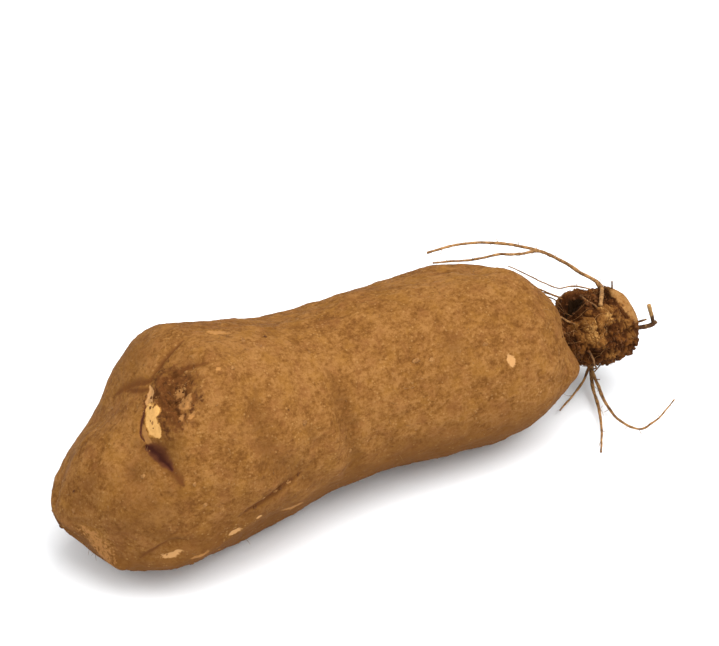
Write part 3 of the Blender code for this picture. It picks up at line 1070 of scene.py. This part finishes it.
class Board:
    """A material's nodes, and the colour that is painted so far."""

    def __init__(self, name: str, colour: object = None) -> None:
        """Starts a material.

        Args:
            name: the material's name.
            colour: the first colour.
        """
        self.material = bpy.data.materials.new(name)
        self.material.use_nodes = True
        self.tree = self.material.node_tree
        self.place = self.node("ShaderNodeTexCoord", {}, {}, "Object")
        self.colour = colour

    def node(self, kind: str, settings: dict, sockets: dict, output: int | str = 0) -> Wire:
        """Adds any node.

        Args:
            kind: its type.
            settings: its settings, which are set first.
            sockets: values or wires, by the name or number of the input.
            output: which output is wanted.

        Returns:
            That output.
        """
        node = self.tree.nodes.new(kind)
        for name, value in settings.items():
            setattr(node, name, value)
        for name, value in sockets.items():
            self.feed(node.inputs[name], value)
        return Wire(self, node.outputs[output])

    def feed(self, socket: Socket, value: object) -> None:
        """Links a wire to a socket, or sets the socket's own value.

        Args:
            socket: an input.
            value: a wire, a number or a colour.
        """
        if isinstance(value, Wire):
            self.tree.links.new(value.socket, socket)
        elif isinstance(value, tuple) and len(value) == 3 and socket.type == "RGBA":
            socket.default_value = (*value, 1)
        else:
            socket.default_value = value

    def noise(self, size: float, detail: float = 3, rough: float = 0.6, stretch: tuple = ()) -> Wire:
        """Cloudy noise from 0 to 1.

        Args:
            size: the size of its clouds in millimetres.
            detail: how many finer layers it has.
            rough: how strong they are.
            stretch: how much finer it is along each axis, if at all.

        Returns:
            The noise.
        """
        place = self.place
        if stretch:
            place = self.node("ShaderNodeMapping", {}, {"Vector": place, "Scale": stretch})
        sockets = {"Vector": place, "Scale": 1 / (size * MM), "Detail": detail, "Roughness": rough}
        return self.node("ShaderNodeTexNoise", {}, sockets)

    def cells(self, size: float) -> Wire:
        """Distance from the middle of scattered cells of a size in millimetres, as a share of it."""
        sockets = {"Vector": self.place, "Scale": 1 / (size * MM)}
        return self.node("ShaderNodeTexVoronoi", {}, sockets, "Distance")

    def mask(self, name: str) -> Wire:
        """A mask that the piece carries."""
        return self.node("ShaderNodeAttribute", {"attribute_name": name}, {}, "Fac")

    def mix(self, share: object, first: object, second: object) -> Wire:
        """A blend of two colours: the first where the share is 0, the second where it is 1."""
        return self.node("ShaderNodeMix", {"data_type": "RGBA"}, {0: share, 6: first, 7: second}, 2)

    def paint(self, share: object, colour: object) -> None:
        """Paints a colour over what is there, fully where the share is 1."""
        self.colour = self.mix(share, self.colour, colour)

    def finish(self, roughness: object, shine: float, height: Wire | None, depth: float) -> Material:
        """Feeds the Principled shader with the painted colour.

        Args:
            roughness: a number or a wire.
            shine: the specular level.
            height: relief from 0 to 1, or None for a flat surface.
            depth: what 1 stands for, in millimetres.

        Returns:
            The material.
        """
        inputs = self.tree.nodes["Principled BSDF"].inputs
        self.feed(inputs["Base Color"], self.colour)
        self.feed(inputs["Roughness"], roughness)
        inputs["Specular IOR Level"].default_value = shine
        if height:
            sockets = {"Height": height, "Distance": depth * MM, "Strength": 0.9}
            self.feed(inputs["Normal"], self.node("ShaderNodeBump", {}, sockets, "Normal"))
        return self.material


@dataclass(frozen=True)
class SkinFinish:
    """Dry corky skin, mottled and streaked, with bare flesh, dark scars and soil, and with painted shade
    in its creases, crevice and underside and painted light on some spots.
    """

    # Light colour, also the painted light of the bright spots.
    light: Colour = (0.260, 0.120, 0.0345)
    middle: Colour = (0.189, 0.0800, 0.0186)
    # Deep colour, also the painted shade of the underside.
    deep: Colour = (0.119, 0.0450, 0.0088)
    fleck: Colour = (0.41, 0.22, 0.075)
    pale: Colour = (0.44, 0.21, 0.065)
    graze: Colour = (0.47, 0.25, 0.095)
    flesh: Colour = (0.64, 0.355, 0.115)
    flesh_edge: Colour = (0.33, 0.150, 0.034)
    cork: Colour = (0.36, 0.165, 0.052)
    # Scar colour, also the painted shade along the creases.
    scar: Colour = (0.102, 0.034, 0.008)
    blot: Colour = (0.046, 0.015, 0.004)
    # Painted shade in the crevice under the lip, and its nearly black core.
    crevice_shade: Colour = (0.085, 0.026, 0.012)
    crevice_shade_core: Colour = (0.022, 0.004, 0.004)
    # Soil colour, also the painted shade of the shadow patches and the underside.
    soil: Colour = (0.109, 0.0415, 0.0088)
    rosy: Colour = (0.202, 0.080, 0.024)
    golden: Colour = (0.238, 0.105, 0.0195)

    def material(self) -> Material:
        """Builds the material.

        Returns:
            The material.
        """
        board = Board("yam_skin")
        mask = board.mask
        patches = board.noise(6.5)
        streaks = board.noise(1.8, stretch=(0.42, 1, 1))
        specks = board.noise(1.9, 4, 0.62)
        grain = board.noise(0.7)
        patch, streak, speck = patches - 0.5, streaks - 0.5, specks - 0.5
        tone = board.noise(38, 2, 0.5) * 0.25 + patches * 0.42 + streaks * 0.35
        # The relief term is painted shade: the low places of the fine relief are darker.
        tone = tone + specks * 0.65 + grain * 0.33 + mask("relief") * 0.12
        board.colour = board.mix(tone.step(0.83, 1.03), self.deep, self.middle)
        board.paint(tone.step(0.98, 1.18), self.light)
        hue = board.noise(11)
        board.paint(hue.step(0.5, 0.68) * 0.4, self.rosy)
        board.paint(hue.step(0.5, 0.32) * 0.4, self.golden)
        # Painted shade: the underside darkens towards the deep colour.
        board.paint(mask("underside_shade") * 0.8, self.deep)
        flecks = board.cells(2.4).step(0.34, 0.16) * board.noise(5, 2, 0.5).step(0.48, 0.62)
        board.paint(flecks * 0.35, self.fleck)
        pits = board.cells(3.1).step(0.3, 0.1) * board.noise(7, 2, 0.5).step(0.46, 0.6)
        board.paint(pits * 0.45, self.deep)
        # Painted shade: the shadow patches darken the skin towards the soil colour.
        shadow = mask("shadow").step(0, 0.9) * (0.6 + patch * 1.6).clipped()
        board.paint(shadow * 0.68, self.soil)
        # Painted light: the bright spots lighten the skin towards the light colour.
        bright = mask("bright").step(0, 0.8) * (0.6 + speck * 1.6).clipped()
        board.paint(bright * 0.55, self.light)
        # The soil mask is real soil along the seam and painted shade towards the underside.
        soil = (mask("soil") + patch * 1.1 + speck * 0.9).step(0.35, 0.85)
        board.paint(soil * 0.85, self.soil)
        torn = board.noise(3.6, 3, 0.65) - 0.5
        scar = (mask("scar") + torn * 2.2 + speck * 1.2).step(0, 0.55) * mask("scar").step(0, 0.12)
        board.paint(scar * 0.85, self.scar)
        board.paint(scar * board.noise(4.2).step(0.48, 0.6) * 0.75, self.blot)
        board.paint(scar * board.noise(2.6, 4).step(0.57, 0.68) * 0.45, self.pale)
        cork = (mask("cork") + streak * 2.4 + speck * 1.2).step(0.35, 0.95)
        board.paint(cork * mask("cork").step(0, 0.2) * 0.65, self.cork)
        # Painted shade: the crease bands darken the creases towards the scar colour.
        crease_shade = (mask("crease_shade") + patch * 0.8 + speck * 0.8).step(0.05, 1)
        board.paint(crease_shade * 0.9, self.scar)
        pale = (mask("pale") + speck * 1.2 + patch * 0.8).step(0, 0.4)
        board.paint(pale * 0.52, self.pale)
        # Painted shade: the crevice under the lip darkens, nearly black in its core.
        board.paint((mask("crevice_shade") + speck * 0.5).step(0, 0.55) * 0.9, self.crevice_shade)
        board.paint((mask("crevice_shade") + speck * 0.3).step(0.4, 1) * 0.8, self.crevice_shade_core)
        board.paint((mask("graze") + speck * 0.9 + patch * 0.6).step(0, 0.3) * 0.9, self.graze)
        edge = mask("flesh") + speck * 0.7 + patch * 0.6
        flesh = board.mix(board.noise(2.2, 3, 0.5).step(0.35, 0.7), self.flesh, self.flesh_edge)
        board.paint(edge.step(-0.06, 0.12), self.flesh_edge)
        board.paint(edge.step(0.12, 0.3), board.mix(0.35, self.flesh, flesh))
        height = specks * 0.5 + grain * 0.35 + streaks * 0.4 - pits * 0.35 + flecks * 0.2
        return board.finish(0.78 + (grain - 0.5) * 0.2, 0.05, height, 0.7)


@dataclass(frozen=True)
class WoodFinish:
    """Dark knobbly wood with painted shade in its hollows, clefts and cavity, and bare tan wood on its cap
    and knobs.
    """

    # Painted shade that fills the cavity.
    cavity_shade: Colour = (0.010, 0.0040, 0.0007)
    # Hollow colour: the darkest tone, where painted shade falls with the relief.
    hollow: Colour = (0.011, 0.0035, 0.0006)
    dark: Colour = (0.054, 0.0165, 0.0036)
    brown: Colour = (0.124, 0.0435, 0.0090)
    tan: Colour = (0.205, 0.088, 0.0205)
    # Bare wood colour, also painted as glints.
    bare: Colour = (0.50, 0.275, 0.085)
    cap: Colour = (0.33, 0.170, 0.056)
    rim: Colour = (0.175, 0.066, 0.0145)

    def material(self) -> Material:
        """Builds the material.

        Returns:
            The material.
        """
        board = Board("crown_wood")
        relief = board.mask("relief")
        patches = board.noise(5)
        smalls = board.noise(2.2)
        fines = board.noise(0.9)
        small, fine = smalls - 0.5, fines - 0.5
        # The tone is partly painted shade: it falls with the relief and on the dark patches.
        tone = relief * 0.3 + (patches - 0.5) + small * 0.9 + fine * 0.7
        tone = tone - board.mask("dark").step(0, 0.7) * 0.55
        board.colour = board.mix(tone.step(-0.75, -0.1), self.hollow, self.dark)
        board.paint(tone.step(-0.15, 0.55), self.brown)
        tan = (board.mask("tan") * 0.9 + tone * 0.75).step(-0.1, 0.95)
        board.paint(tan, board.mix(smalls.step(0.35, 0.75), self.tan, self.brown))
        # Painted highlights: glints in the bare wood colour on the tan wood's high places.
        glints = (board.mask("tan") * 0.7 + tone * 0.5 + fine * 1.2).step(0.6, 1)
        board.paint(glints * 0.6, self.bare)
        # Painted shade: the low places of the relief darken into the clefts.
        board.paint((0.1 - relief).step(0, 0.9) * 0.7, self.dark)
        cap = (board.mask("cap") + small * 0.9).step(0.3, 0.8)
        worn = (patches * 0.6 + smalls * 0.5 + fines * 0.2).step(0.48, 0.8)
        board.paint(cap * 0.95, board.mix(worn, self.rim, self.cap))
        # Painted shade: the cavity is painted nearly black.
        hole = (board.mask("cavity") + small * 0.25).step(0, 0.16)
        board.paint(hole * 0.97, self.cavity_shade)
        return board.finish(0.85 + fine * 0.2, 0.05, fines * 0.7 + board.noise(0.4, 2, 0.5) * 0.3, 0.5)


@dataclass(frozen=True)
class StrandFinish:
    """Dry, finely wrinkled roots and twigs."""

    name: str
    light: Colour
    dark: Colour
    dark_foot: bool = False

    def material(self) -> Material:
        """Builds the material.

        Returns:
            The material.
        """
        board = Board(self.name)
        fine = board.noise(0.8)
        tone = board.noise(4) * 0.6 + fine * 0.5
        if self.dark_foot:
            tone = tone - 0.25 + board.mask("along") * 0.4
        board.colour = board.mix(tone.step(0.4, 0.7), self.dark, self.light)
        return board.finish(0.75 + (fine - 0.5) * 0.2, 0.12, fine, 0.2)


@dataclass(frozen=True)
class Studio:
    """The pale floor, the soft lights and the camera."""

    azimuth: float = -32
    elevation: float = 36
    lens: float = 100
    distance: float = 1.10
    aim: tuple = (-0.031, 0.006, 0.050)
    aim_right: float = 0.0215
    aim_up: float = 0.0433
    floor_half: float = 6
    floor_colour: Colour = (0.86, 0.875, 0.89)
    sky_strength: float = 0.6
    lamps: tuple = (
        ("overhead", (0.22, -0.33, 1.54), 1.6, 36), ("front", (0.4, -1.1, 0.9), 1.2, 9),
        ("tail side", (-1.1, -0.1, 1.0), 1.2, 7.5),
    )
    lit_place: tuple = (0, 0, 0.04)

    def floor(self) -> None:
        """Lays the floor."""
        bpy.ops.mesh.primitive_plane_add(size=2 * self.floor_half)
        floor = bpy.context.object
        floor.name = "floor"
        floor.data.materials.append(Board("pale_floor", self.floor_colour).finish(0.9, 0.5, None, 0))

    @staticmethod
    def hang(name: str, data: bpy.types.ID, place: Vector, look: Vector) -> Piece:
        """Hangs a light or a camera.

        Args:
            name: its name.
            data: the light or the camera.
            place: where it hangs.
            look: which way it looks.

        Returns:
            The object.
        """
        thing = bpy.data.objects.new(name, data)
        thing.location = place
        thing.rotation_mode = "QUATERNION"
        thing.rotation_quaternion = look.to_track_quat("-Z", "Y")
        bpy.context.scene.collection.objects.link(thing)
        return thing

    def light(self) -> None:
        """Lights everything evenly, and hangs the square soft lamps: name, place, side and watts."""
        world = bpy.data.worlds.new("studio")
        world.use_nodes = True
        background = world.node_tree.nodes["Background"]
        background.inputs["Color"].default_value = (1, 1, 1, 1)
        background.inputs["Strength"].default_value = self.sky_strength
        bpy.context.scene.world = world
        for name, place, side, watts in self.lamps:
            lamp = bpy.data.lights.new(name, "AREA")
            lamp.size = side
            lamp.energy = watts
            self.hang(name, lamp, Vector(place), Vector(self.lit_place) - Vector(place))

    def camera(self) -> None:
        """Places the camera where the photograph was taken from."""
        turn, tilt = np.radians(self.azimuth), np.radians(self.elevation)
        back = np.array([np.sin(turn) * np.cos(tilt), -np.cos(turn) * np.cos(tilt), np.sin(tilt)])
        right = np.array([np.cos(turn), np.sin(turn), 0])
        aim = np.array(self.aim) + right * self.aim_right + np.cross(back, right) * self.aim_up
        lens = bpy.data.cameras.new("camera")
        lens.lens = self.lens
        lens.sensor_width = 36
        lens.clip_start, lens.clip_end = 0.05, 50
        bpy.context.scene.camera = self.hang("camera", lens, aim + back * self.distance, Vector(-back))

    def build(self) -> None:
        """Sets the whole studio up."""
        bpy.context.scene.view_settings.view_transform = "Standard"
        self.floor()
        self.light()
        self.camera()


UPPER_ROOTS = Spray(
    name="upper_root_strands",
    nodes=("upper_roots",),
    slot=Slot.ROOT,
    side_rootlets=6,
    seed=101,
    strands=(
        Strand(((173.5, -24.5, 64.2), (177.5, -20, 65.4), (182, -14.5, 65.2), (186, -9, 63.6),
                (187.6, -4.5, 62.8), (186, 0.5, 63.8), (181, 4, 67.5), (171, 8, 76.5), (157, 14, 86),
                (146, 18, 91), (130, 21, 97), (114, 24, 101), (102, 26, 102), (88, 28, 101)), 2.5, 1.4),
        Strand(((189, -11, 53), (187.5, -8, 60), (186, -4.5, 65)), 2.6, 2.4),
        Strand(((163, 11, 82), (157, 14, 86), (144, 15, 88), (132, 18, 90), (119, 20, 91), (104, 24, 92),
                (91, 27, 94)), 1.9, 1.2),
        Strand(((145, -14, 60), (151, -17.5, 60.2), (152.7, -20.5, 59), (155.4, -25.6, 58.2)), 1.3, 0.9),
        Strand(((187, -9, 58), (179, -3, 62), (172, 2, 62.5), (165, 5, 62), (159, 10, 65), (147, 14, 74),
                (137, 17, 81)), 1.1, 0.7),
    ),
)
LOWER_ROOTS = Spray(
    name="lower_root_strands",
    nodes=("lower_roots",),
    slot=Slot.ROOT,
    side_rootlets=7,
    seed=211,
    strands=(
        Strand(((175.5, -14, 25), (175.5, -17, 17), (169.5, -20, 8), (159.5, -24, 5),
                (144, -31, 4)), 2.0, 0.9),
        Strand(((176, -15, 25), (175, -19, 14), (171.6, -26, 7), (163.6, -43, 4.5), (154, -58, 3.5),
                (142, -73, 3)), 2.4, 1.2),
        Strand(((176.5, -16, 25), (175.5, -20, 14), (173, -29, 9), (170, -40, 6), (168, -56, 4),
                (173, -69, 3.5), (186, -70, 7), (200, -66, 12)), 2.3, 0.9),
    ),
)
VINE_STUB = Spray(
    name="vine_hook",
    nodes=("vine_stub",),
    slot=Slot.VINE,
    side_rootlets=3,
    seed=307,
    strands=(
        Strand(((192, -17, 34.5), (202, -18, 32.4), (209, -19, 31.5), (214, -20, 30.9), (219, -20, 30.6),
                (222, -20, 31.4)), 3.1, 2.6, 0.2, 0.15, 0.3),
        Strand(((219.6, -20, 31), (218.6, -20, 34.5), (217, -20, 39.4), (214.6, -20, 46.2)), 2.7, 2.4,
               sway=0.1),
        Strand(((203, -19, 35.4), (208.6, -19, 35.8), (214.4, -19, 35.2)), 1.7, 1.3, 0.2, 0.1, 0.5),
    ),
)
CROWN_TWIGS = Spray(
    name="crown_twigs",
    slot=Slot.ROOT,
    side_rootlets=0,
    seed=401,
    sides=8,
    strands=(
        Strand(((189.5, -14, 58), (190, -14, 63.4), (189.6, -14, 69.3)), 1.6, 1.1),
        Strand(((185, -11, 60), (186.4, -12, 65), (190, -14, 64), (193, -18, 59)), 0.9, 0.7),
        Strand(((168, -12, 66), (171, -28, 63), (172, -33, 56), (169, -37, 48)), 1.5, 0.9),
        Strand(((150, 10, 66), (155.8, 5, 63), (161.5, -2, 61)), 1.1, 0.8),
        Strand(((152, 6, 62), (158, 2, 59.6), (162, -3, 56)), 1.0, 0.7),
        Strand(((177, -27, 24), (176.2, -24, 18), (176.2, -20, 11.4)), 1.0, 0.6),
        Strand(((157, -38, 46), (161, -37.5, 38), (165, -34, 30.5), (170, -30, 24.5),
                (176, -20, 14)), 1.2, 0.9),
        Strand(((177, -19, 8), (179.5, -20, 5.5), (182, -20, 4.2)), 0.9, 0.6),
        Strand(((143, 8, 66), (149, 4, 66), (155, -2, 65), (160, -6, 63)), 0.9, 0.7),
    ),
)


def stand(piece: Piece, slot: Slot, material: Material, *nodes: str) -> Piece:
    """Dresses a piece and ties it to the yam.

    Args:
        piece: the piece.
        slot: which of the record's finishes it has; not used.
        material: its material.
        nodes: the solids that it stands for.

    Returns:
        The piece.
    """
    piece.data.materials.append(material)
    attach(piece, "root")
    if nodes:
        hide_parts(*nodes)
    LOG.info("%s: %d faces", piece.name, len(piece.data.polygons))
    return piece


def main() -> None:
    """Builds the whole yam in its studio."""
    logging.basicConfig(level=logging.INFO, format="%(message)s")
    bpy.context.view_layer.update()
    Studio().build()
    root = StrandFinish("dry_root", (0.38, 0.20, 0.072), (0.088, 0.036, 0.011)).material()
    rootlet = StrandFinish("fine_root", (0.27, 0.125, 0.040), (0.070, 0.028, 0.008)).material()
    vine = StrandFinish("dry_vine", (0.34, 0.19, 0.066), (0.05, 0.020, 0.007), dark_foot=True).material()
    twig = StrandFinish("dry_twig", (0.22, 0.105, 0.035), (0.050, 0.020, 0.006)).material()
    hair = StrandFinish("dry_hair", (0.30, 0.17, 0.07), (0.13, 0.06, 0.02)).material()
    soil = StrandFinish("soil", (0.125, 0.045, 0.010), (0.045, 0.014, 0.003)).material()
    flake = StrandFinish("flake", (0.30, 0.145, 0.045), (0.17, 0.072, 0.019)).material()

    tuber = Tuber()
    crown = Crown()
    yam = stand(tuber.build(), Slot.SKIN, SkinFinish().material(), "tuber")
    head = stand(crown.build(), Slot.WOOD, WoodFinish().material(), "crown")
    sprays = {UPPER_ROOTS: root, LOWER_ROOTS: root, VINE_STUB: vine, CROWN_TWIGS: twig}
    for spray, material in sprays.items():
        stand(spray.build(), spray.slot, material, *spray.nodes)
    stand(Rootlets().build(tuber, crown), Slot.ROOT, rootlet)

    seam = mask_of(yam, "soil")
    scar = mask_of(yam, "scar")
    unclean = np.clip(-mask_of(head, "tan"), 0, 0.3) * (1 - mask_of(head, "cap"))
    unclean *= 1 - smooth_step(mask_of(head, "cavity"), 0, 0.1)
    crumbs = Crumbs("soil_crumbs", Slot.WOOD, (0.22, 1.0), 0.8, 220, 61)
    flakes = Crumbs("skin_flakes", Slot.SKIN, (0.4, 1.7), 0.22, 260, 71)
    clods = Crumbs("crown_soil", Slot.WOOD, (0.3, 1.35), 0.8, 900, 83)
    for litter, body, weight, material in (
        (crumbs, yam, seam**3 + 0.4 * scar**2 + 0.0005, soil),
        (flakes, yam, seam**2 + 0.02, flake),
        (clods, head, unclean, soil),
    ):
        stand(litter.build(*scatter(body, litter.count, weight, litter.seed)), litter.slot, material)
    hairs = Hairs()
    tailward = np.append(np.ones(len(seam) - 2), [0, 0])
    stand(hairs.build(*scatter(yam, hairs.count, tailward, hairs.seed)), Slot.ROOT, hair)


if __name__ == "__main__":
    main()
